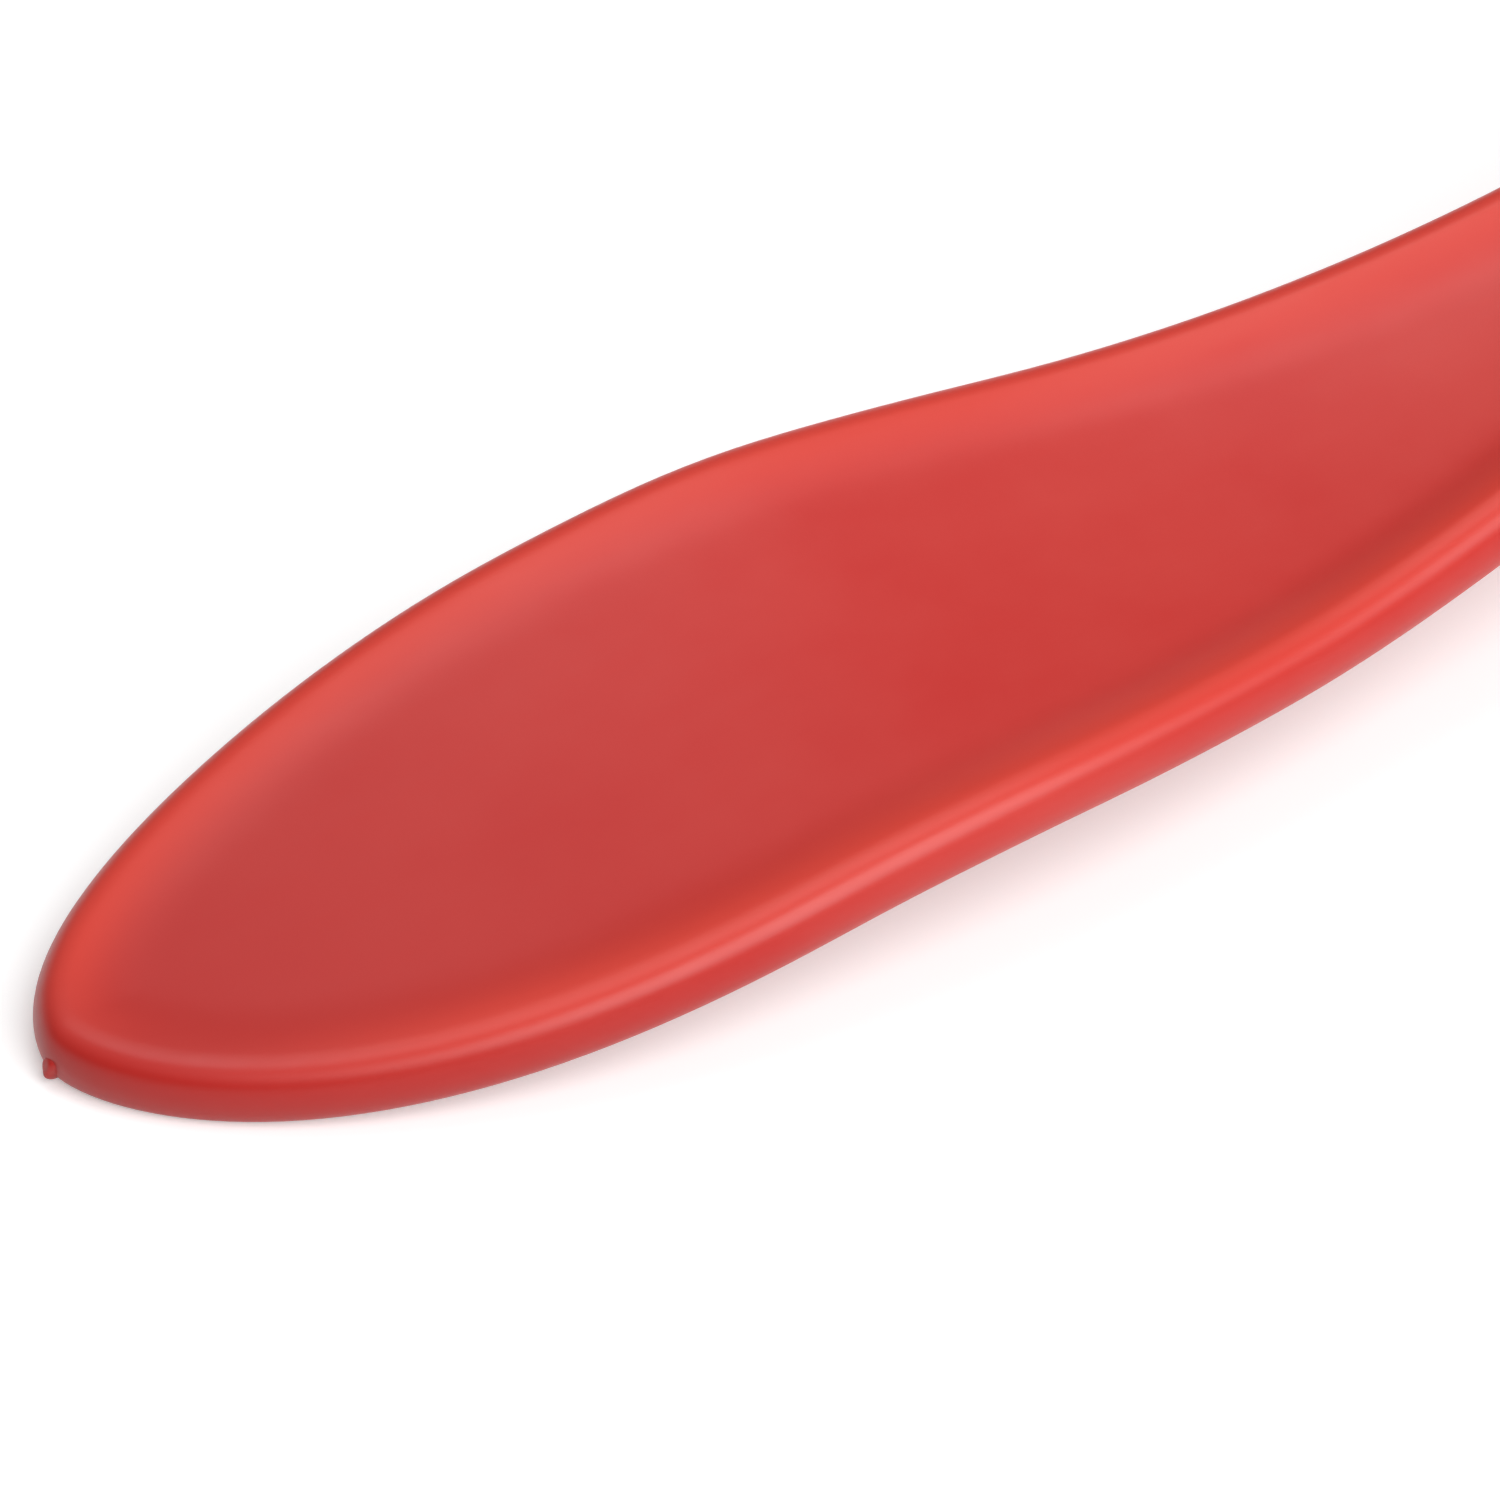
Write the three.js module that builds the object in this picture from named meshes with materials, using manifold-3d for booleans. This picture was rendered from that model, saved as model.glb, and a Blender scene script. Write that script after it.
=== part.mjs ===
// Butter spatula: a rigid dished handle with a silicone blade moulded over its tongue.
// Millimetres, +Z up, +X from the grip towards the blade, Y = 0 on the centre line.
// Both pieces are modelled flat along X and then bent along one spine, so that the
// underside of the grip's end and the blade's front edge stand together on Z = 0.

import * as THREE from 'three';
import { mergeVertices } from 'three/addons/utils/BufferGeometryUtils.js';
import Module from 'manifold-3d';

// Handle in plan, with lengths counted from the grip's tip
const handleLength = 162; // tip to the shoulder that the blade seats on
const gripWidth = 30;
const gripSwellLength = 32; // tip to the full width
const gripTipPower = 1.17; // 1 is a true half ellipse, more is leaner at the tip
const gripFullLength = 6.5; // run at the full width
const waistLength = 54.5; // ease from the grip down to the shaft
const shaftWidth = 16.5;
const shoulderLength = 18; // flare from the shaft up to the shoulder
const shoulderStep = 1; // how far the shoulder stays inside the blade's root

// Handle in section
const gripThickness = 3.3;
const shaftThickness = 6.4;
const thickenLength = 55; // the section thickens over this run, up to the shoulder flare
const edgeRound = 1.6; // how far in the rounded edge reaches
const edgePower = 2.4; // 2 is a half ellipse, more gives the edge a flatter side
const dishDepth = 1; // hollow of the upper face
const dishRim = 4.5; // how far inside the rounded edge about half the depth is reached
const dishTipFade = 10; // the hollow runs out towards the tip
const dishShoulderFade = 12; // and towards the shoulder

// Spine, the height of the middle of the section along X
const gripRestLength = 3; // level run over the flat at the tip
const gripRise = 5.8;
const gripRiseLength = 43;
const waistLevelLength = 11; // level run between the two rises
const neckRise = 12;
const neckRiseLength = 68;
const bendLength = 44; // the neck bends down to the blade's slope over this run
const restFlatDepth = 0.3; // depth of the flats that the tip and the blade's front edge lie on

// Mould gate mark at the tip
const gateDiameter = 0.8;
const gateLength = 0.4;
const gateDrop = 0.5; // below the middle of the rim

// Tongue of the handle, inside the blade
const tongueLength = 46;
const tongueRootWidth = 16;
const tongueEndWidth = 12;
const tongueThickness = 3.2;
const tongueRoot = 5; // how far the tongue runs back into the shoulder
const windowCount = 3;
const windowWidth = 5;
const windowCorner = 1.5;
const windowBridge = 5; // rib between two windows
const windowRootMargin = 7; // shoulder to the first window
const windowEndMargin = 5; // last window to the tongue's end

// Silicone blade
const bladeLength = 88;
const bladeWidth = 52;
const coreWall = 2; // how far the flat of the core reaches past the tongue
const coreShareMost = 0.75; // most of the half width that the core's flat may take
const coreCover = 3.1; // silicone above and below the tongue at the root
const rootSideWall = 3.5; // silicone beside the tongue at the root, to the outside
const rootSideThickness = 6.4; // rounded sides of the root, which thin out into the wings
const rootRound = 1.4; // rounded edge of the root's face
const bladeEdgeThickness = 1.6;
const bladeFlareLength = 34; // the shoulders of the blade open over this run
const bladeTaperPower = 1.6; // how long the core keeps its thickness before it thins out
const roundCornerRadius = 21;
const squareCornerRadius = 5;

// Gap all round between the two mouldings
const clearance = 0.3;

// Facets
const tipRows = 12;
const handleRowStep = 5;
const rimSteps = 6;
const dishSteps = [0, 0.1, 0.22, 0.4, 0.66, 1];
const bladeRowStep = 4;
const rootRows = 3;
const cornerRows = 8;
const bladeRowMerge = 0.02; // rows closer than this are one
const bladeSteps = [0, 0.25, 0.5, 0.75, 0.9, 1];
const slotSegments = 6;

const wasm = await Module();
wasm.setup();

const { smoothstep, lerp } = THREE.MathUtils;

// Solids

function toSolid(geometry) {
  const bare = new THREE.BufferGeometry();
  bare.setAttribute('position', geometry.getAttribute('position').clone());
  bare.setIndex(geometry.getIndex());
  const merged = mergeVertices(bare, 1e-4);
  return new wasm.Manifold(new wasm.Mesh({
    numProp: 3,
    vertProperties: new Float32Array(merged.getAttribute('position').array),
    triVerts: new Uint32Array(merged.getIndex().array),
  }));
}

function toGeometry(solid) {
  const { vertProperties, triVerts } = solid.getMesh();
  const geometry = new THREE.BufferGeometry();
  geometry.setAttribute('position', new THREE.BufferAttribute(new Float32Array(vertProperties), 3));
  geometry.setIndex(new THREE.BufferAttribute(new Uint32Array(triVerts), 1));
  return geometry;
}

// A skin through closed rings of points, with an end cap where one is asked for.
// A ring that folds onto itself closes its own end.
function loft(rings, { capStart = false, capEnd = false }) {
  const count = rings[0].length;
  const index = [];
  for (let row = 0; row + 1 < rings.length; row++) {
    for (let i = 0; i < count; i++) {
      const next = (i + 1) % count;
      const a = row * count + i;
      const b = row * count + next;
      const c = a + count;
      const d = b + count;
      index.push(a, c, b, b, c, d);
    }
  }
  const cap = (row, flip) => {
    const outline = rings[row].map((p) => new THREE.Vector2(p.y, p.z));
    for (const face of THREE.ShapeUtils.triangulateShape(outline, [])) {
      const [a, b, c] = face.map((i) => row * count + i);
      index.push(...(flip ? [a, c, b] : [a, b, c]));
    }
  };
  if (capStart) cap(0, true);
  if (capEnd) cap(rings.length - 1, false);
  const geometry = new THREE.BufferGeometry().setFromPoints(rings.flat());
  geometry.setIndex(index);
  return mergeVertices(geometry, 1e-4);
}

// Spine

const gripRiseAt = gripRestLength;
const neckRiseAt = gripRiseAt + gripRiseLength + waistLevelLength;
const bendAt = handleLength - bendLength;
const overallLength = handleLength + bladeLength;

function risenHeight(x) {
  return gripThickness / 2 - restFlatDepth
    + gripRise * smoothstep(x, gripRiseAt, gripRiseAt + gripRiseLength)
    + neckRise * smoothstep(x, neckRiseAt, neckRiseAt + neckRiseLength);
}

// Drop below the risen height for a slope of 1, an arc followed by a straight line
function fall(x) {
  const run = THREE.MathUtils.clamp(x - bendAt, 0, bendLength);
  return (run * run) / (2 * bendLength) + Math.max(x - handleLength, 0);
}

// The slope that brings the blade's front edge down to Z = 0, with its flat cut off
const frontEdgeX = overallLength - bladeEdgeThickness / 2;
const frontEdgeHeight = bladeEdgeThickness / 2 - restFlatDepth;
const bladeSlope = (risenHeight(frontEdgeX) - frontEdgeHeight) / fall(frontEdgeX);

function spineHeight(x) {
  return risenHeight(x) - bladeSlope * fall(x);
}

function bend(geometry) {
  const position = geometry.getAttribute('position');
  const point = new THREE.Vector3();
  const step = 0.01;
  for (let i = 0; i < position.count; i++) {
    point.fromBufferAttribute(position, i);
    const slope = (spineHeight(point.x + step) - spineHeight(point.x - step)) / (2 * step);
    const angle = Math.atan(slope);
    position.setXYZ(
      i,
      point.x - point.z * Math.sin(angle),
      point.y,
      spineHeight(point.x) + point.z * Math.cos(angle),
    );
  }
  return geometry;
}

// Handle

const waistAt = gripSwellLength + gripFullLength;
const shoulderAt = handleLength - shoulderLength;
const bladeRootWidth = tongueRootWidth + 2 * rootSideWall;
const shoulderWidth = bladeRootWidth - 2 * shoulderStep;

function handleHalfWidth(x) {
  const waisted = (gripWidth - shaftWidth) * smoothstep(x, waistAt, waistAt + waistLength);
  const flared = (shoulderWidth - shaftWidth) * smoothstep(x, shoulderAt, handleLength);
  return (gripWidth - waisted + flared) / 2;
}

function handleHalfThickness(x) {
  const thickened = smoothstep(x, shoulderAt - thickenLength, shoulderAt);
  return lerp(gripThickness, shaftThickness, thickened) / 2;
}

// Depth of the hollow at a share of the span from the rounded edge to the centre line,
// which both halves reach level
function dishAt(x, share, span) {
  const rim = (2 * dishRim / span) ** 2;
  const inward = (share * (2 - share)) ** 2;
  const profile = ((1 + rim) * inward) / (inward + rim);
  const run = smoothstep(x, 0, dishTipFade) * (1 - smoothstep(x, handleLength - dishShoulderFade, handleLength));
  return dishDepth * run * profile;
}

// Rows of the plan: a point of the outline, its outward normal, and the point of
// the centre line that the row runs to
function handleRows() {
  const rows = [];
  const noseAt = (gripWidth * gripWidth) / (4 * gripSwellLength);
  for (let i = 0; i <= tipRows; i++) {
    const angle = (i / tipRows) * (Math.PI / 2);
    const x = gripSwellLength * (1 - Math.cos(angle));
    const y = (gripWidth / 2) * Math.sin(angle) ** gripTipPower;
    const along = gripSwellLength * Math.sin(angle);
    const across = (gripWidth / 2) * gripTipPower * Math.sin(angle) ** (gripTipPower - 1) * Math.cos(angle);
    const normal = i === 0 ? new THREE.Vector2(-1, 0) : new THREE.Vector2(-across, along).normalize();
    rows.push({ x, y, normal, centre: lerp(noseAt, gripSwellLength, x / gripSwellLength) });
  }
  const straightRows = Math.ceil((handleLength - gripSwellLength) / handleRowStep);
  for (let i = 1; i <= straightRows; i++) {
    const x = lerp(gripSwellLength, handleLength, i / straightRows);
    rows.push({ x, y: handleHalfWidth(x), normal: new THREE.Vector2(0, 1), centre: x });
  }
  return rows;
}

// Half a section, from the middle of the upper face round the rim to the middle below
function handleHalfSection({ x, y, normal, centre }) {
  const points = [];
  const crest = new THREE.Vector2(x, y).addScaledVector(normal, -edgeRound);
  const span = Math.hypot(centre - crest.x, crest.y);
  const half = handleHalfThickness(x);
  for (const share of [...dishSteps].reverse()) {
    points.push(new THREE.Vector3(
      lerp(crest.x, centre, share),
      lerp(crest.y, 0, share),
      half - dishAt(x, share, span),
    ));
  }
  for (let i = 1; i <= rimSteps; i++) {
    const angle = Math.PI / 2 - (i / rimSteps) * Math.PI;
    const reach = edgeRound * Math.max(Math.cos(angle), 0) ** (2 / edgePower);
    const rise = half * Math.sign(angle) * Math.abs(Math.sin(angle)) ** (2 / edgePower);
    points.push(new THREE.Vector3(crest.x + normal.x * reach, crest.y + normal.y * reach, rise));
  }
  points.push(new THREE.Vector3(centre, 0, -half));
  return points;
}

// The half section and its mirror image as one closed ring
function mirroredRing(half) {
  const mirrored = half.slice(1, -1).reverse().map((p) => new THREE.Vector3(p.x, -p.y, p.z));
  return [...half, ...mirrored];
}

const windowRun = tongueLength - windowRootMargin - windowEndMargin - (windowCount - 1) * windowBridge;
const windowLength = windowRun / windowCount;

// Outline of the tongue with a margin all round, and its windows narrowed by it
function tongueShape(margin) {
  const shape = new THREE.Shape();
  const rootHalf = tongueRootWidth / 2 + margin;
  const endHalf = tongueEndWidth / 2 + margin;
  const endCentre = handleLength + tongueLength - tongueEndWidth / 2;
  shape.moveTo(handleLength - tongueRoot, -rootHalf);
  shape.lineTo(handleLength, -rootHalf);
  shape.absarc(endCentre, 0, endHalf, -Math.PI / 2, Math.PI / 2, false);
  shape.lineTo(handleLength, rootHalf);
  shape.lineTo(handleLength - tongueRoot, rootHalf);
  for (let i = 0; i < windowCount; i++) {
    const start = handleLength + windowRootMargin + i * (windowLength + windowBridge);
    shape.holes.push(windowPath(start + margin, start + windowLength - margin, windowWidth / 2 - margin));
  }
  return shape;
}

// A window with rounded corners, from one end to the other along the tongue
function windowPath(start, end, half) {
  const corner = Math.min(windowCorner, half, (end - start) / 2);
  const path = new THREE.Path();
  path.absarc(end - corner, half - corner, corner, 0, Math.PI / 2, false);
  path.absarc(start + corner, half - corner, corner, Math.PI / 2, Math.PI, false);
  path.absarc(start + corner, corner - half, corner, Math.PI, Math.PI * 1.5, false);
  path.absarc(end - corner, corner - half, corner, Math.PI * 1.5, Math.PI * 2, false);
  return path;
}

function tongueSolid(margin) {
  const depth = tongueThickness + 2 * margin;
  const geometry = new THREE.ExtrudeGeometry(tongueShape(margin), {
    depth,
    bevelEnabled: false,
    curveSegments: slotSegments,
  });
  return toSolid(geometry.translate(0, 0, -depth / 2));
}

function gateSolid() {
  const length = gateLength + edgeRound;
  const geometry = new THREE.CylinderGeometry(gateDiameter / 2, gateDiameter / 2, length, slotSegments * 2);
  return toSolid(geometry.rotateZ(Math.PI / 2).translate(edgeRound - length / 2, 0, -gateDrop));
}

// Everything below the surface that the spatula lies on
function belowRest() {
  const depth = 10;
  const geometry = new THREE.BoxGeometry(3 * overallLength, 2 * bladeWidth, depth);
  return toSolid(geometry.translate(0, 0, -depth / 2));
}

function handleGeometry() {
  const rings = handleRows().map((row) => mirroredRing(handleHalfSection(row)));
  const body = toSolid(loft(rings, { capEnd: true }));
  const flat = body.add(tongueSolid(0)).add(gateSolid());
  const bent = toSolid(bend(toGeometry(flat)));
  return toGeometry(bent.subtract(belowRest()));
}

// Blade

const bladeEdgeRound = bladeEdgeThickness / 2;
const bladeRootThickness = tongueThickness + 2 * coreCover;
const frontRun = bladeLength - bladeEdgeRound; // the last row, where the front edge begins to round

// How far the section draws in where the root's face is rounded
function rootInset(run) {
  const left = THREE.MathUtils.clamp(1 - (run - clearance) / rootRound, 0, 1);
  return rootRound * (1 - Math.sqrt(1 - left * left));
}

function edgeHalfThickness(run) {
  return lerp(rootSideThickness, bladeEdgeThickness, smoothstep(run, 0, bladeFlareLength)) / 2;
}

// Where the rounded edge begins on one side: its half width and its outward normal
function bladeEdge(run, cornerRadius) {
  const flared = smoothstep(run, 0, bladeFlareLength);
  const half = lerp(bladeRootWidth, bladeWidth, flared) / 2;
  const radius = cornerRadius - edgeHalfThickness(run);
  const past = Math.max(run - (bladeLength - cornerRadius), 0);
  const angle = Math.asin(Math.min(past / radius, 1));
  return {
    y: half - cornerRadius + radius * Math.cos(angle),
    normal: new THREE.Vector2(Math.sin(angle), Math.cos(angle)),
  };
}

function coreHalfWidth(run) {
  const taper = Math.min(run / tongueLength, 1);
  return lerp(tongueRootWidth, tongueEndWidth, taper) / 2 + coreWall;
}

function coreHalfThickness(run) {
  const kept = 1 - (run / frontRun) ** bladeTaperPower;
  return lerp(bladeEdgeThickness, bladeRootThickness, kept) / 2;
}

// Distances from the shoulder, closer together at the root's face and round the corners
function bladeRuns() {
  const cornerAt = bladeLength - Math.max(roundCornerRadius, squareCornerRadius);
  const steadyAt = clearance + rootRound;
  const steady = Math.ceil((cornerAt - steadyAt) / bladeRowStep);
  const runs = [];
  for (let i = 0; i < rootRows; i++) runs.push(steadyAt - rootRound * Math.cos((i / rootRows) * (Math.PI / 2)));
  for (let i = 0; i <= steady; i++) runs.push(lerp(steadyAt, cornerAt, i / steady));
  for (const radius of [roundCornerRadius, squareCornerRadius]) {
    for (let i = 1; i <= cornerRows; i++) {
      const turn = (i / cornerRows) * (Math.PI / 2);
      runs.push(bladeLength - radius + (radius - bladeEdgeRound) * Math.sin(turn));
    }
  }
  runs.sort((a, b) => a - b);
  return runs.filter((run, i) => i === 0 || run - runs[i - 1] > bladeRowMerge);
}

// One side of a section, from the flat of the core out to the edge, above and below
function bladeSide(run, cornerRadius, side) {
  const { y, normal } = bladeEdge(run, cornerRadius);
  const inset = rootInset(run);
  const edgeHalf = edgeHalfThickness(run) - inset;
  const coreHalf = coreHalfThickness(run) - inset;
  const core = Math.min(coreHalfWidth(run), y * coreShareMost);
  const x = handleLength + run;
  const upper = bladeSteps.map((share) => new THREE.Vector3(
    x,
    side * lerp(core, y, share),
    lerp(coreHalf, edgeHalf, smoothstep(share, 0, 1)),
  ));
  const rim = [];
  for (let i = 1; i < rimSteps; i++) {
    const angle = Math.PI / 2 - (i / rimSteps) * Math.PI;
    const reach = edgeHalf * Math.cos(angle);
    rim.push(new THREE.Vector3(
      x + normal.x * reach,
      side * (y + normal.y * reach),
      edgeHalf * Math.sin(angle),
    ));
  }
  const lower = upper.map((p) => new THREE.Vector3(p.x, p.y, -p.z)).reverse();
  return [...upper, ...rim, ...lower];
}

function bladeGeometry() {
  const rings = bladeRuns().map((run) => [
    ...bladeSide(run, roundCornerRadius, 1),
    ...bladeSide(run, squareCornerRadius, -1).reverse(),
  ]);
  const body = toSolid(loft(rings, { capStart: true, capEnd: true }));
  const bent = toSolid(bend(toGeometry(body.subtract(tongueSolid(clearance)))));
  return toGeometry(bent.subtract(belowRest()));
}

// Assembly

const handleRed = new THREE.MeshStandardMaterial({ color: 0xc8443d, roughness: 0.4, metalness: 0 });
const bladeWhite = new THREE.MeshStandardMaterial({ color: 0xf2efe8, roughness: 0.55, metalness: 0 });

function piece(name, geometry, material) {
  const mesh = new THREE.Mesh(geometry, material);
  mesh.name = name;
  return mesh;
}

const spatula = new THREE.Group();
spatula.add(piece('handle', handleGeometry(), handleRed));
spatula.add(piece('blade', bladeGeometry(), bladeWhite));
spatula.position.x = (gateLength - overallLength) / 2;

export default spatula;
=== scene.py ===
# Butter spatula: a red dished handle with a white silicone blade moulded over its tongue.
# Both pieces are modelled flat along X, with the grip's tip at 0, then bent along one spine.
import math

import bmesh
import bpy
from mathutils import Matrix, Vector


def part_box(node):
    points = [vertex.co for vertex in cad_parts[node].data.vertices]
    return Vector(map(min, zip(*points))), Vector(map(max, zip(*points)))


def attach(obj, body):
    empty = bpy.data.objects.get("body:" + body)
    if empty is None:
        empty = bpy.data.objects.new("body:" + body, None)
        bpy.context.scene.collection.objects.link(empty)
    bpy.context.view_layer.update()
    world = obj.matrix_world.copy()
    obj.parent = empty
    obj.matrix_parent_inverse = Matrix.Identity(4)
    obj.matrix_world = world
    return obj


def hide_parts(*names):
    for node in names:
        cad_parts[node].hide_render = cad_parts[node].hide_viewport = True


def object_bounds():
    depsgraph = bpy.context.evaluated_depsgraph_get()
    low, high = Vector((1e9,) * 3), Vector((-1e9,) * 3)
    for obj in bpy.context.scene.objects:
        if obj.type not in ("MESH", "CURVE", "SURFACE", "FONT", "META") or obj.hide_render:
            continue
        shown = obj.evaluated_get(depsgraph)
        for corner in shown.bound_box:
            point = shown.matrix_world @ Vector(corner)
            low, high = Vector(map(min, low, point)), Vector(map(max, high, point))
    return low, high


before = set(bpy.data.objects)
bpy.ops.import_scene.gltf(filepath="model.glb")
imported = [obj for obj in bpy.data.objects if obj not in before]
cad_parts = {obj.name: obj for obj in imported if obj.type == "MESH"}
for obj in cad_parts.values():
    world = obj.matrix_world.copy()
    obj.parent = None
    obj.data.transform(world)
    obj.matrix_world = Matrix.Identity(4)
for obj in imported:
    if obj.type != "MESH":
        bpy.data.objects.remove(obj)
cadLow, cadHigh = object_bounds()
mm = 0.001
gateLength = 0.4 * mm         # the gate mark is the first thing along X
tipX = cadLow.x + gateLength
overall = cadHigh.x - tipX


def ease(x, start, end):
    share = min(max((x - start) / (end - start), 0), 1)
    return share * share * (3 - 2 * share)


def mix(a, b, share):
    return a + (b - a) * share


# mesh helpers

def extrudeChain(bm, chain, places, closed):
    # a row of faces from a chain of verts to fresh ones at the given places
    ends = chain[1:] + chain[:1] if closed else chain[1:]
    edges = [bm.edges.get(pair) for pair in zip(chain, ends)]
    made = bmesh.ops.extrude_edge_only(bm, edges=edges)["geom"]
    fresh = {item for item in made if isinstance(item, bmesh.types.BMVert)}
    chain = [next(e.other_vert(v) for e in v.link_edges if e.other_vert(v) in fresh) for v in chain]
    for vert, place in zip(chain, places):
        vert.co = place
    return chain


def loftRings(bm, rings):
    ring = bmesh.ops.create_circle(bm, segments=len(rings[0]), radius=1)["verts"]
    for vert, place in zip(ring, rings[0]):
        vert.co = place
    rows = [ring]
    for places in rings[1:]:
        rows.append(extrudeChain(bm, rows[-1], places, True))
    return rows


def mirroredRing(half):
    return half + [Vector((p.x, -p.y, p.z)) for p in reversed(half[1:-1])]


# shader helpers

class Value:
    def __init__(self, shader, socket):
        self.shader = shader
        self.socket = socket

    def math(self, operation, first, second):
        return self.shader.node("ShaderNodeMath", dict(operation=operation), {0: first, 1: second})

    def __add__(self, other):
        return self.math("ADD", self, other)

    def __radd__(self, other):
        return self.math("ADD", other, self)

    def __sub__(self, other):
        return self.math("SUBTRACT", self, other)

    def __rsub__(self, other):
        return self.math("SUBTRACT", other, self)

    def __mul__(self, other):
        return self.math("MULTIPLY", self, other)

    def __rmul__(self, other):
        return self.math("MULTIPLY", other, self)


class Shader:
    def __init__(self, tree):
        self.tree = tree
        self.tree.nodes.clear()

    def node(self, kind, settings=None, sockets=None, out=0):
        made = self.tree.nodes.new(kind)
        for name, value in (settings or {}).items():
            if name == "stops":
                self.setStops(made.color_ramp.elements, value)
            else:
                setattr(made, name, value)
        for name, value in (sockets or {}).items():
            if isinstance(value, Value):
                self.tree.links.new(value.socket, made.inputs[name])
            else:
                made.inputs[name].default_value = value
        return Value(self, made.outputs[out]) if made.outputs else made

    def setStops(self, elements, stops):
        while len(elements) < len(stops):
            elements.new(1)
        for element, (place, grey) in zip(elements, stops):
            element.position = place
            element.color = (grey, grey, grey, 1)

    def noise(self, where, scale, detail, roughness):
        return self.node("ShaderNodeTexNoise", None, dict(
            Vector=where, Scale=scale, Detail=detail, Roughness=roughness))

    def blend(self, share, first, second):
        # by number, because a Mix node has several sockets of one name
        return self.node("ShaderNodeMix", dict(data_type="RGBA"), {0: share, 6: first, 7: second}, out=2)

    def grainBump(self, where, finish):
        grain = self.noise(where, finish["grainScale"], finish["grainDetail"], finish["grainRough"])
        return self.node("ShaderNodeBump", None, dict(
            Strength=finish["grainStrength"], Distance=finish["grainDepth"], Height=grain))


def newMaterial(name):
    material = bpy.data.materials.new(name)
    material.use_nodes = True
    return material, Shader(material.node_tree)


# tongue of the handle, and its socket in the blade

joint = dict(
    gap=0.3 * mm,             # all round the tongue
    tongueLength=46 * mm,
    tongueRootWidth=16 * mm,
    tongueEndWidth=12 * mm,
    tongueThick=3.2 * mm,
    tongueCorner=0.5 * mm,
    cornerMost=1 / 3,         # of the half width, where the round end gets narrow
    endTurns=(64, 76, 84),    # degrees round the end, one row of points at each
    windows=3,
    windowWidth=5 * mm,
    windowMost=1 / 2,         # of the half width
    windowBridge=5 * mm,
    windowRootMargin=7 * mm,
    windowEndMargin=5 * mm,
    windowRows=4,             # rows of faces along a window
    windowColumns=4,          # columns of faces across half a window
    slack=0.01 * mm,          # how close counts as on a window
)


def windowSpans():
    # distances of both ends of each window from the shoulder
    run = joint["tongueLength"] - joint["windowRootMargin"] - joint["windowEndMargin"]
    length = (run - (joint["windows"] - 1) * joint["windowBridge"]) / joint["windows"]
    pitch = length + joint["windowBridge"]
    starts = [joint["windowRootMargin"] + i * pitch for i in range(joint["windows"])]
    return [(start, start + length) for start in starts]


def cutWindows(bm, margin):
    # open both faces of the plate at each window, then join the two openings
    half = joint["windowWidth"] / 2 - margin
    plate = joint["tongueThick"] / 2 + margin
    slack = joint["slack"]
    for start, end in windowSpans():
        first = handle["length"] + start + margin - slack
        last = handle["length"] + end - margin + slack

        def inside(place):
            along = first < place.x < last
            return along and abs(place.y) < half + slack and abs(abs(place.z) - plate) < slack

        gone = [face for face in bm.faces if inside(face.calc_center_median())]
        bmesh.ops.delete(bm, geom=gone, context="FACES")
        rims = [e for e in bm.edges if e.is_boundary and all(inside(v.co) for v in e.verts)]
        bmesh.ops.bridge_loops(bm, edges=rims)


def tongueStations(margin):
    # distances from the shoulder, with one at both ends of each window
    rows = joint["windowRows"]
    stations = [joint["windowRootMargin"] / 2]
    for start, end in windowSpans():
        stations += [mix(start + margin, end - margin, k / rows) for k in range(rows + 1)]
        stations.append(end + joint["windowBridge"] / 2)
    endRadius = joint["tongueEndWidth"] / 2 + margin
    endCentre = joint["tongueLength"] - joint["tongueEndWidth"] / 2
    stations = [s for s in stations if s < joint["tongueLength"] - joint["windowEndMargin"] / 2]
    stations += [endCentre + endRadius * math.sin(math.radians(turn)) for turn in joint["endTurns"]]
    return sorted(stations)


def tongueHalfWidth(run, margin):
    endRadius = joint["tongueEndWidth"] / 2
    endCentre = joint["tongueLength"] - endRadius
    if run > endCentre:
        return math.sqrt(max((endRadius + margin) ** 2 - (run - endCentre) ** 2, 0))
    return mix(joint["tongueRootWidth"] / 2, endRadius, run / endCentre) + margin


def tongueHalf(run, margin, faceColumns, rimColumns):
    # half a section of the plate, from the middle above round the edge to the middle below
    half = tongueHalfWidth(run, margin)
    thick = joint["tongueThick"] / 2 + margin
    corner = min(joint["tongueCorner"], half * joint["cornerMost"])
    window = min(joint["windowWidth"] / 2 - margin, half * joint["windowMost"])
    split = joint["windowColumns"]
    ys = [window * j / split for j in range(split + 1)]
    rest = faceColumns - split
    ys += [mix(window, half - corner, j / rest) for j in range(1, rest + 1)]
    x = handle["length"] + run
    points = [Vector((x, y, thick)) for y in ys]
    for i in range(1, rimColumns):
        angle = math.pi / 2 - math.pi * i / rimColumns
        points.append(Vector((x, half - corner + corner * math.cos(angle), thick * math.sin(angle))))
    return points + [Vector((x, y, -thick)) for y in reversed(ys)]


# handle

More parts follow.
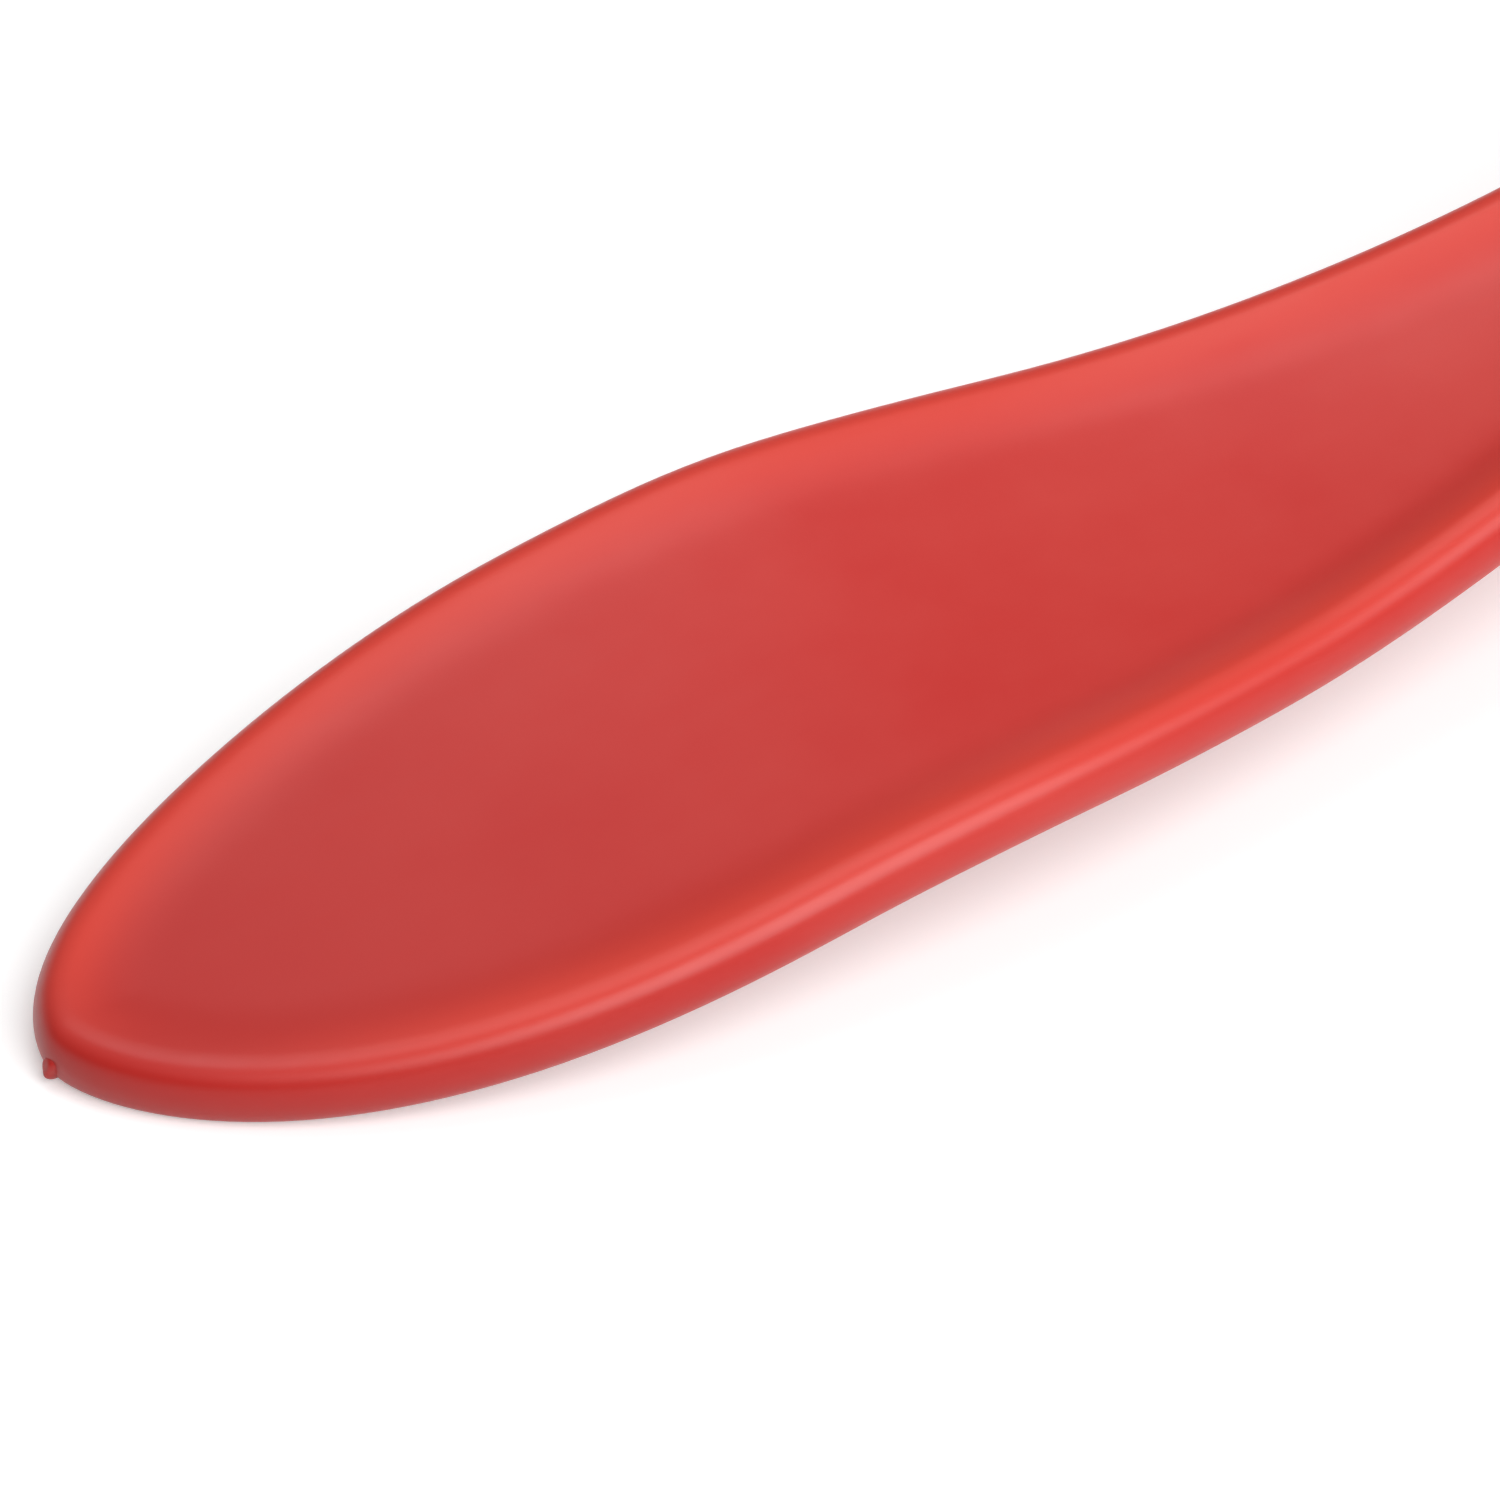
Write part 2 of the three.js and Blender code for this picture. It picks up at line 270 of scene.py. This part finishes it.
redPlastic = dict(
    deep=(0.57, 0.009, 0.005, 1),
    bright=(0.61, 0.032, 0.023, 1),
    contrast=2.4,                   # of the clouds between the two
    # painted shade: the grip is darker towards its tip, where less light falls
    tip=(0.435, 0.008, 0.004, 1),
    tipRun=42 * mm,                 # from the tip to where the painted shade ends
    tipShare=0.85,
    rim=(0.69, 0.034, 0.016, 1),    # painted light: the rim is drawn lighter than the face
    mottleScale=55,
    mottleDetail=4,
    mottleRough=0.6,
    scuffStretch=(120, 900, 900),   # fine scuffs run along the handle
    scuffScale=1,
    scuffDetail=5,
    scuffRough=0.65,
    grainScale=3200,
    grainDetail=2,
    grainRough=0.5,
    grainDepth=0.012 * mm,
    grainStrength=0.35,
    roughness=0.39,
    roughnessSwing=0.10,
    specular=0.52,
    ior=1.5,
)


def redPlasticMaterial():
    material, shader = newMaterial("redPlastic")
    place = shader.node("ShaderNodeTexCoord", out="Object")
    mottle = shader.noise(
        place, redPlastic["mottleScale"], redPlastic["mottleDetail"], redPlastic["mottleRough"])
    stretched = shader.node("ShaderNodeMapping", None, dict(
        Vector=place, Scale=redPlastic["scuffStretch"]))
    scuff = shader.noise(
        stretched, redPlastic["scuffScale"], redPlastic["scuffDetail"], redPlastic["scuffRough"])
    # share of painted light along the rim, from the mesh's rim attribute
    rim = shader.node("ShaderNodeAttribute", dict(attribute_name="rim"), out="Fac")
    along = shader.node("ShaderNodeSeparateXYZ", None, dict(Vector=place), out="X")
    # share of the painted tip shade, fading out along the grip
    tip = shader.node("ShaderNodeMapRange", None, {
        "Value": along, "From Min": tipX, "From Max": tipX + redPlastic["tipRun"],
        "To Min": redPlastic["tipShare"], "To Max": 0.0})
    cloud = (mottle - 0.5) * redPlastic["contrast"] + 0.5
    face = shader.blend(cloud, redPlastic["deep"], redPlastic["bright"])
    face = shader.blend(tip, face, redPlastic["tip"])
    # the painted rim light laid over the face colour
    colour = shader.blend(rim, face, redPlastic["rim"])
    roughness = redPlastic["roughness"] + (scuff - 0.5) * redPlastic["roughnessSwing"]
    surface = shader.node("ShaderNodeBsdfPrincipled", None, {
        "Base Color": colour, "Roughness": roughness, "Normal": shader.grainBump(place, redPlastic),
        "IOR": redPlastic["ior"], "Specular IOR Level": redPlastic["specular"]})
    shader.node("ShaderNodeOutputMaterial", None, dict(Surface=surface))
    return material


handle = dict(
    length=162 * mm,
    width=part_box("handle")[1].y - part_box("handle")[0].y,
    swellRun=32 * mm,
    tipPower=1.17,            # 1 is a true half ellipse
    fullRun=6.5 * mm,
    waistRun=54.5 * mm,
    shaftWidth=16.5 * mm,
    shoulderRun=18 * mm,
    shoulderWidth=21 * mm,
    gripThick=3.3 * mm,
    shaftThick=6.4 * mm,
    thickenRun=55 * mm,
    edgeRound=1.6 * mm,
    edgePower=2.4,            # 2 is an ellipse, more gives the rim a flatter side
    endRound=0.7 * mm,        # edge of the shoulder's face
    endTurns=(30, 60, 90),    # degrees round that edge, one row of points at each
    lipTip=0.20 * mm,         # the face falls away just inside the rim, less at the tip
    lipDepth=0.52 * mm,
    lipGrow=70 * mm,
    lipRun=3.7 * mm,
    bowlDepth=0.6 * mm,       # and more gently on to the centre line
    bowlFrom=4 * mm,
    bowlTo=46 * mm,
    dishShoulderFade=12 * mm,
    seam=0.03 * mm,           # parting line round the rim
    paintedLightWidth=1.9 * mm,        # how far in from the rim the painted light reaches
    paintedLightOver=0.4,              # and how far round it, as a share of the half turn
    nearRimUnlitTo=20 * mm,          # painted rim light is left off the near rim from the tip to here, as that side is in shade
    nearRimUnlitBlend=6 * mm,
    tipRows=22,
    rowStep=2.5 * mm,
    faceColumns=12,
    crowding=1.5,             # brings the face's columns closer together at the rim
    rimColumns=12,
    weld=0.001 * mm,
)


def handleHalfWidth(x):
    waistAt = handle["swellRun"] + handle["fullRun"]
    waisted = (handle["width"] - handle["shaftWidth"]) * ease(x, waistAt, waistAt + handle["waistRun"])
    flareAt = handle["length"] - handle["shoulderRun"]
    flared = (handle["shoulderWidth"] - handle["shaftWidth"]) * ease(x, flareAt, handle["length"])
    return (handle["width"] - waisted + flared) / 2


def handleHalfThick(x):
    flareAt = handle["length"] - handle["shoulderRun"]
    share = ease(x, flareAt - handle["thickenRun"], flareAt)
    return mix(handle["gripThick"], handle["shaftThick"], share) / 2


def dishAt(x, share, span):
    depth = mix(handle["lipTip"], handle["lipDepth"], ease(x, 0, handle["lipGrow"]))
    lip = depth * ease(share * span, 0, min(handle["lipRun"], span))
    bowl = handle["bowlDepth"] * ease(x, handle["bowlFrom"], handle["bowlTo"]) * share * (2 - share)
    fadeAt = handle["length"] - handle["dishShoulderFade"]
    return (lip + bowl) * (1 - ease(x, fadeAt, handle["length"]))


def handleRows():
    # point of the outline, outward normal, point of the centre line, and draw-in of the section
    rows = []
    noseAt = handle["width"] ** 2 / (4 * handle["swellRun"])
    for i in range(handle["tipRows"] + 1):
        angle = math.pi / 2 * i / handle["tipRows"]
        x = handle["swellRun"] * (1 - math.cos(angle))
        y = handle["width"] / 2 * math.sin(angle) ** handle["tipPower"]
        along = handle["swellRun"] * math.sin(angle)
        across = handle["width"] / 2 * handle["tipPower"] * math.cos(angle)
        across *= math.sin(angle) ** (handle["tipPower"] - 1)
        normal = Vector((-across, along)).normalized() if i else Vector((-1, 0))
        centre = mix(noseAt, handle["swellRun"], x / handle["swellRun"])
        rows.append((Vector((x, y)), normal, centre, 0))
    endAt = handle["length"] - handle["endRound"]
    count = math.ceil((endAt - handle["swellRun"]) / handle["rowStep"])
    for i in range(1, count + 1):
        x = mix(handle["swellRun"], endAt, i / count)
        rows.append((Vector((x, handleHalfWidth(x))), Vector((0, 1)), x, 0))
    for turn in handle["endTurns"]:
        x = endAt + handle["endRound"] * math.sin(math.radians(turn))
        drawIn = handle["endRound"] * (1 - math.cos(math.radians(turn)))
        rows.append((Vector((x, handleHalfWidth(x) - drawIn)), Vector((0, 1)), x, drawIn))
    return rows


def faceShares():
    # from the middle of the face out to the rim
    columns = handle["faceColumns"]
    return [(1 - j / columns) ** handle["crowding"] for j in range(columns + 1)]


def handleHalf(edge, normal, centre, drawIn):
    # half a section, from the middle above round the rim to the middle below
    crest = edge - normal * handle["edgeRound"]
    half = handleHalfThick(edge.x) - drawIn
    span = math.hypot(centre - crest.x, crest.y)
    shares = faceShares()
    points = []
    for share in shares:
        x = mix(crest.x, centre, share)
        points.append(Vector((x, mix(crest.y, 0, share), half - dishAt(x, share, span))))
    for i in range(1, handle["rimColumns"]):
        angle = math.pi / 2 - math.pi * i / handle["rimColumns"]
        reach = handle["edgeRound"] * math.cos(angle) ** (2 / handle["edgePower"])
        reach += handle["seam"] if i * 2 == handle["rimColumns"] else 0
        rise = math.copysign(abs(math.sin(angle)) ** (2 / handle["edgePower"]), angle)
        points.append(Vector((crest.x + normal.x * reach, crest.y + normal.y * reach, half * rise)))
    for share in reversed(shares):
        points.append(Vector((mix(crest.x, centre, share), mix(crest.y, 0, share), -half)))
    return points


def paintedRimLightShares(edge, normal, centre):
    # share of painted rim light: 1 along the upper rim, down to 0 across the face and round to the
    # underside
    crest = edge - normal * handle["edgeRound"]
    span = math.hypot(centre - crest.x, crest.y)
    fade = 1 - ease(edge.x, handle["length"] - handle["shoulderRun"], handle["length"])
    values = [fade * math.exp(-(share * span / handle["paintedLightWidth"]) ** 2) for share in faceShares()]
    for i in range(1, handle["rimColumns"]):
        values.append(fade * ease(i / handle["rimColumns"], handle["paintedLightOver"], 0))
    return values + [0] * (handle["faceColumns"] + 1)


def makeHandle(material):
    bm = bmesh.new()
    columns = (handle["faceColumns"], handle["rimColumns"])
    rings = [mirroredRing(handleHalf(*row)) for row in handleRows()]
    for run in [0] + tongueStations(0):
        rings.append(mirroredRing(tongueHalf(run, 0, *columns)))
    # the rim layer holds each vertex's share of painted rim light
    rim = bm.verts.layers.float.new("rim")    # before the verts, which it would renew
    rows = loftRings(bm, rings)
    blend = handle["nearRimUnlitBlend"]
    for row, verts in zip(handleRows(), rows):
        shares = paintedRimLightShares(*row[:3])
        nearRimUnlit = 1 - ease(row[0].x, 0, handle["nearRimUnlitTo"])
        for vert, share in zip(verts, shares + shares[-2:0:-1]):
            vert[rim] = share * (1 - nearRimUnlit * ease(-vert.co.y, -blend, blend))
    bmesh.ops.contextual_create(bm, geom=rows[-1])
    bmesh.ops.remove_doubles(bm, verts=rows[0], dist=handle["weld"])
    cutWindows(bm, 0)
    finishPiece("handleMoulding", bm, material, "handle")


# gate mark, where the plastic was fed into the mould

gateMark = dict(
    halfWidth=0.5 * mm,
    halfHeight=0.52 * mm,
    across=-0.36 * mm,        # off the centre line, to the near side
    drop=0.44 * mm,           # below the middle of the rim
    # mm along X, and share of the size there
    steps=((0.8, 1.4), (0.2, 1.25), (0.05, 1.05), (-0.08, 0.85), (-0.15, 0.45)),
    lip=0.16 * mm,            # its foot stands out further
    pinch=0.6,                # and is narrower
    torn=0.12,                # broken off, not quite round
    tornBumps=3,
    tornTurn=1,               # radians
    sides=16,
)


def makeGateMark(material):
    bm = bmesh.new()
    rings = []
    for along, share in gateMark["steps"]:
        ring = []
        for i in range(gateMark["sides"]):
            turn = 2 * math.pi * i / gateMark["sides"]
            low = (1 - math.sin(turn)) / 2
            bump = math.sin(gateMark["tornBumps"] * turn + gateMark["tornTurn"])
            size = share * (1 + gateMark["torn"] * bump)
            y = gateMark["halfWidth"] * size * math.cos(turn) * (1 - gateMark["pinch"] * low)
            z = gateMark["halfHeight"] * size * math.sin(turn) - gateMark["drop"]
            ring.append(Vector((along * mm - gateMark["lip"] * low, y + gateMark["across"], z)))
        rings.append(ring)
    rows = loftRings(bm, rings)
    for end in (rows[0], rows[-1]):
        bmesh.ops.contextual_create(bm, geom=end)
    finishPiece("gateMark", bm, material)


# blade

silicone = dict(
    shade=(0.74, 0.725, 0.69, 1),
    light=(0.80, 0.79, 0.765, 1),
    cloudScale=40,
    cloudDetail=3,
    cloudRough=0.55,
    grainScale=2600,
    grainDetail=2,
    grainRough=0.5,
    grainDepth=0.015 * mm,
    grainStrength=0.4,
    roughness=0.5,
    roughnessSwing=0.12,
    ior=1.42,
    glow=0.15,
    glowDepth=2.5 * mm,
)


def siliconeMaterial():
    material, shader = newMaterial("whiteSilicone")
    place = shader.node("ShaderNodeTexCoord", out="Object")
    cloud = shader.noise(place, silicone["cloudScale"], silicone["cloudDetail"], silicone["cloudRough"])
    colour = shader.blend(cloud, silicone["shade"], silicone["light"])
    roughness = silicone["roughness"] + (cloud - 0.5) * silicone["roughnessSwing"]
    surface = shader.node("ShaderNodeBsdfPrincipled", None, {
        "Base Color": colour, "Roughness": roughness, "Normal": shader.grainBump(place, silicone),
        "IOR": silicone["ior"],
        "Subsurface Weight": silicone["glow"], "Subsurface Scale": silicone["glowDepth"]})
    shader.node("ShaderNodeOutputMaterial", None, dict(Surface=surface))
    return material


blade = dict(
    length=overall - handle["length"],
    width=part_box("blade")[1].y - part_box("blade")[0].y,
    rootWidth=23 * mm,
    rootThick=9.4 * mm,
    rootSide=6.4 * mm,        # thickness of the root's rounded sides
    rootRound=1.4 * mm,
    rootRows=5,
    edgeThick=1.6 * mm,
    flareRun=34 * mm,
    taper=1.6,                # how long the core keeps its thickness
    coreWall=2 * mm,
    coreShare=0.75,
    roundCorner=21 * mm,
    squareCorner=5 * mm,
    rowStep=2 * mm,
    leastStep=0.05 * mm,      # rows that are closer than this become one
    cornerRows=12,
    faceColumns=16,
    rimColumns=8,
    weld=0.002 * mm,
)


def bladeEdgeHalf(run):
    return mix(blade["rootSide"], blade["edgeThick"], ease(run, 0, blade["flareRun"])) / 2


def bladeCoreHalf(run):
    share = run / (blade["length"] - blade["edgeThick"] / 2)
    return mix(blade["edgeThick"], blade["rootThick"], 1 - share ** blade["taper"]) / 2


def bladeHalf(run, corner, side):
    # half a section, from the middle above round one edge to the middle below
    half = mix(blade["rootWidth"], blade["width"], ease(run, 0, blade["flareRun"])) / 2
    left = min(max(1 - (run - joint["gap"]) / blade["rootRound"], 0), 1)
    drawIn = blade["rootRound"] * (1 - math.sqrt(1 - left * left))
    radius = corner - bladeEdgeHalf(run)
    past = max(run - blade["length"] + corner, 0)
    angle = math.asin(min(past / radius, 1))
    crest = half - corner + radius * math.cos(angle)
    edgeHalf = bladeEdgeHalf(run) - drawIn
    coreHalf = bladeCoreHalf(run) - drawIn
    taper = min(run / joint["tongueLength"], 1)
    core = mix(joint["tongueRootWidth"], joint["tongueEndWidth"], taper) / 2 + blade["coreWall"]
    core = min(core, crest * blade["coreShare"])
    x = handle["length"] + run
    columns = blade["faceColumns"]
    above = []
    for j in range(columns + 1):
        y = crest * j / columns
        above.append(Vector((x, side * y, mix(coreHalf, edgeHalf, ease(y, core, crest)))))
    rim = []
    for i in range(1, blade["rimColumns"]):
        turn = math.pi / 2 - math.pi * i / blade["rimColumns"]
        reach = edgeHalf * math.cos(turn)
        y = side * (crest + math.cos(angle) * reach)
        rim.append(Vector((x + math.sin(angle) * reach, y, edgeHalf * math.sin(turn))))
    below = [Vector((p.x, p.y, -p.z)) for p in reversed(above)]
    return above + rim + below


def bladeRuns():
    # distances of the sections from the shoulder
    rootAt = joint["gap"] + blade["rootRound"]
    cornerAt = blade["length"] - blade["roundCorner"]
    runs = []
    for i in range(blade["rootRows"]):
        runs.append(rootAt - blade["rootRound"] * math.cos(math.pi / 2 * i / blade["rootRows"]))
    count = math.ceil((cornerAt - rootAt) / blade["rowStep"])
    runs += [mix(rootAt, cornerAt, i / count) for i in range(count + 1)]
    for radius in (blade["roundCorner"], blade["squareCorner"]):
        reach = radius - blade["edgeThick"] / 2
        for i in range(1, blade["cornerRows"] + 1):
            turn = math.pi / 2 * i / blade["cornerRows"]
            runs.append(blade["length"] - radius + reach * math.sin(turn))
    runs.sort()
    return [run for i, run in enumerate(runs) if i == 0 or run - runs[i - 1] > blade["leastStep"]]


def bladeRing(run):
    right = bladeHalf(run, blade["squareCorner"], -1)
    return bladeHalf(run, blade["roundCorner"], 1) + right[-2:0:-1]


def closeFront(bm, last):
    # the rounded side edge runs on along the front, from the square corner to the round one
    columns, rimColumns = blade["faceColumns"], blade["rimColumns"]
    count = len(last)
    crestRight = (count - columns) % count
    above = [last[i % count] for i in range(crestRight, crestRight + 2 * columns + 1)]
    edge = [last[i] for i in range(crestRight, crestRight - rimColumns - 1, -1)]
    profile = [v.co.copy() for v in edge]
    for top in above[1:]:
        edge = extrudeChain(bm, edge, [Vector((p.x, top.co.y, p.z)) for p in profile], False)
    bmesh.ops.remove_doubles(bm, verts=bm.verts, dist=blade["weld"])


def makeBlade(material):
    bm = bmesh.new()
    columns = (blade["faceColumns"], blade["rimColumns"])
    sockets = [joint["gap"]] + tongueStations(joint["gap"])
    rings = [mirroredRing(tongueHalf(run, joint["gap"], *columns)) for run in reversed(sockets)]
    rings += [bladeRing(run) for run in bladeRuns()]
    rows = loftRings(bm, rings)
    bmesh.ops.contextual_create(bm, geom=rows[0])
    closeFront(bm, rows[-1])
    cutWindows(bm, joint["gap"])
    finishPiece("siliconeBlade", bm, material, "blade")


# the spine that the pieces are bent along

spine = dict(
    restRun=3 * mm,           # level at the tip
    restCut=0.3 * mm,         # depth of the flats that the tip and the blade's edge lie on
    gripRise=5.8 * mm,
    gripRun=43 * mm,
    levelRun=11 * mm,
    neckRise=12 * mm,
    neckRun=68 * mm,
    bendRun=44 * mm,          # turns down into the blade
    slopeStep=0.01 * mm,      # over which its slope is measured
)


def risenHeight(x):
    neckAt = spine["restRun"] + spine["gripRun"] + spine["levelRun"]
    grip = spine["gripRise"] * ease(x, spine["restRun"], spine["restRun"] + spine["gripRun"])
    neck = spine["neckRise"] * ease(x, neckAt, neckAt + spine["neckRun"])
    return handle["gripThick"] / 2 - spine["restCut"] + grip + neck


def fallBelow(x):
    run = min(max(x - handle["length"] + spine["bendRun"], 0), spine["bendRun"])
    return run * run / (2 * spine["bendRun"]) + max(x - handle["length"], 0)


# as steep as it takes to bring the blade's front edge down to the surface
frontX = overall - blade["edgeThick"] / 2
frontHeight = blade["edgeThick"] / 2 - spine["restCut"]
bladeSlope = (risenHeight(frontX) - frontHeight) / fallBelow(frontX)


def spineHeight(x):
    return risenHeight(x) - bladeSlope * fallBelow(x)


def onSpine(place):
    step = spine["slopeStep"]
    slope = (spineHeight(place.x + step) - spineHeight(place.x - step)) / (2 * step)
    angle = math.atan(slope)
    return Vector((
        tipX + place.x - place.z * math.sin(angle),
        place.y,
        max(spineHeight(place.x) + place.z * math.cos(angle), 0),    # flat where it lies
    ))


def finishPiece(name, bm, material, nodeName=None):
    bmesh.ops.recalc_face_normals(bm, faces=bm.faces)
    for vert in bm.verts:
        vert.co = onSpine(vert.co)
    mesh = bpy.data.meshes.new(name)
    bm.to_mesh(mesh)
    bm.free()
    mesh.polygons.foreach_set("use_smooth", [True] * len(mesh.polygons))
    piece = bpy.data.objects.new(name, mesh)
    bpy.context.scene.collection.objects.link(piece)
    rounding = piece.modifiers.new("rounding", "SUBSURF")
    rounding.levels = 1
    rounding.render_levels = 1
    mesh.materials.append(material)
    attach(piece, "root")
    if nodeName:
        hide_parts(nodeName)
    print("made", name, "with", len(mesh.polygons), "faces")


red = redPlasticMaterial()
makeHandle(red)
makeGateMark(red)
makeBlade(siliconeMaterial())


# floor, light and camera

view = dict(
    target=Vector((tipX + 39.03 * mm, 3.985 * mm, -0.26 * mm)),
    turn=31.43,               # degrees from +Y towards +X
    elevation=38.51,
    distance=0.4947,
    focal=10737.6,            # pixels of the 1500 pixel frame
    frameWidth=1500,
    sensorWidth=36,
    clipStart=0.01,
)

studio = dict(
    keyFrom=Vector((0.13, -0.68, 0.72)),
    keySize=1.3,
    keyPower=15.4,
    fillFrom=Vector((0.1, 0.33, 0.94)),
    fillSize=0.8,
    fillPower=2.8,
    lampDistance=1.2,
    sky=0.28,
    # height on the unit dome, and how pale it is there
    dome=((0, 0.95), (0.1, 0.95), (0.22, 0.2), (0.42, 0.3), (0.84, 1)),
    floorShade=(0.8, 0.8, 0.8, 1),
    floorLift=0.38,           # brings the floor up to white where no shadow falls
    floorSize=4,
)


def makeCamera():
    turn, tilt = math.radians(view["turn"]), math.radians(view["elevation"])
    ahead = Vector((math.sin(turn) * math.cos(tilt), math.cos(turn) * math.cos(tilt), -math.sin(tilt)))
    data = bpy.data.cameras.new("camera")
    data.sensor_width = view["sensorWidth"]
    data.lens = view["sensorWidth"] * view["focal"] / view["frameWidth"]
    data.clip_start = view["clipStart"]
    camera = bpy.data.objects.new("camera", data)
    camera.location = view["target"] - ahead * view["distance"]
    camera.rotation_euler = ahead.to_track_quat("-Z", "Y").to_euler()
    bpy.context.scene.collection.objects.link(camera)
    bpy.context.scene.camera = camera


def makeLamp(name):
    data = bpy.data.lights.new(name, "AREA")
    data.shape = "DISK"
    data.size = studio[name + "Size"]
    data.energy = studio[name + "Power"]
    lamp = bpy.data.objects.new(name, data)
    toLamp = studio[name + "From"].normalized()
    lamp.location = view["target"] + toLamp * studio["lampDistance"]
    lamp.rotation_euler = (-toLamp).to_track_quat("-Z", "Y").to_euler()
    bpy.context.scene.collection.objects.link(lamp)


def seenDirectly(shader):
    # 1 for what the camera sees, also in a gloss or through something clear
    camera = shader.node("ShaderNodeLightPath", out="Is Camera Ray")
    glossy = shader.node("ShaderNodeLightPath", out="Is Glossy Ray")
    through = shader.node("ShaderNodeLightPath", out="Is Transmission Ray")
    return shader.node("ShaderNodeMath", dict(operation="ADD", use_clamp=True), {
        0: camera, 1: glossy + through})


def makeSky():
    world = bpy.data.worlds.new("sky")
    world.use_nodes = True
    bpy.context.scene.world = world
    shader = Shader(world.node_tree)
    strength = studio["sky"] + seenDirectly(shader) * (1 - studio["sky"])
    place = shader.node("ShaderNodeTexCoord", out="Generated")
    height = shader.node("ShaderNodeSeparateXYZ", None, dict(Vector=place), out="Z")
    dome = shader.node("ShaderNodeValToRGB", dict(stops=studio["dome"]), dict(Fac=height))
    light = shader.node("ShaderNodeBackground", None, dict(Color=dome, Strength=strength))
    shader.node("ShaderNodeOutputWorld", None, dict(Surface=light))


def makeFloor():
    bm = bmesh.new()
    bmesh.ops.create_grid(bm, x_segments=2, y_segments=2, size=studio["floorSize"] / 2)
    mesh = bpy.data.meshes.new("floor")
    bm.to_mesh(mesh)
    bm.free()
    floor = bpy.data.objects.new("floor", mesh)
    bpy.context.scene.collection.objects.link(floor)
    material, shader = newMaterial("floorPaper")
    paper = shader.node("ShaderNodeBsdfDiffuse", None, dict(Color=studio["floorShade"]))
    lift = shader.node("ShaderNodeEmission", None, dict(
        Color=(1, 1, 1, 1), Strength=seenDirectly(shader) * studio["floorLift"]))
    both = shader.node("ShaderNodeAddShader", None, {0: paper, 1: lift})
    shader.node("ShaderNodeOutputMaterial", None, dict(Surface=both))
    mesh.materials.append(material)


makeCamera()
makeLamp("key")
makeLamp("fill")
makeSky()
makeFloor()
bpy.context.scene.view_settings.view_transform = "Standard"
print("camera, light and floor are set")
